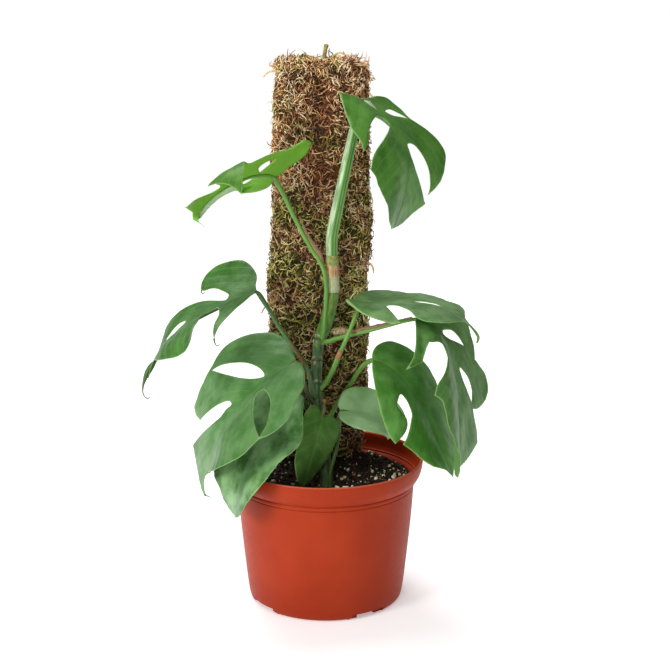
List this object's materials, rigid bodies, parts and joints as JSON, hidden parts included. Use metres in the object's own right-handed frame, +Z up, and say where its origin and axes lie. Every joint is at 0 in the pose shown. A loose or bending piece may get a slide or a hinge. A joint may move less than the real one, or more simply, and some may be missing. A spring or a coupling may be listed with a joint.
{
  "type": "potted mini monstera on a moss pole",
  "caption": "Climbing aroid with split and pierced leaves, its stem standing against a moss pole in a round collared nursery pot with drain notches.",
  "frame": {"origin": "centre of the pot's flat underside, on the surface it stands on", "axes": "+Z up the pole, -Y towards the front of the plant, +X to the right seen from the front"},
  "size_m": [0.273, 0.1908, 0.439],
  "materials": {
    "pot_plastic": "satin",
    "potting_mix": "matte",
    "dry_moss": "matte",
    "stake_wood": "matte",
    "stem_green": "satin",
    "papery_sheath": "matte",
    "leaf_green": "satin"
  },
  "bodies": {
    "root": {"pot": "pot_plastic", "soil": "potting_mix", "moss_pole": "dry_moss", "pole_stake": "stake_wood", "stem": "stem_green", "sheath_upper": "papery_sheath", "sheath_leaf_2": "papery_sheath", "aerial_root": "papery_sheath", "leaf_1": "leaf_green", "leaf_2": "leaf_green", "leaf_3": "leaf_green", "leaf_4": "leaf_green", "leaf_5": "leaf_green", "leaf_6": "leaf_green", "leaf_7": "leaf_green", "leaf_8": "leaf_green", "leaf_9": "leaf_green", "leaf_10": "leaf_green"}
  },
  "joints": []
}
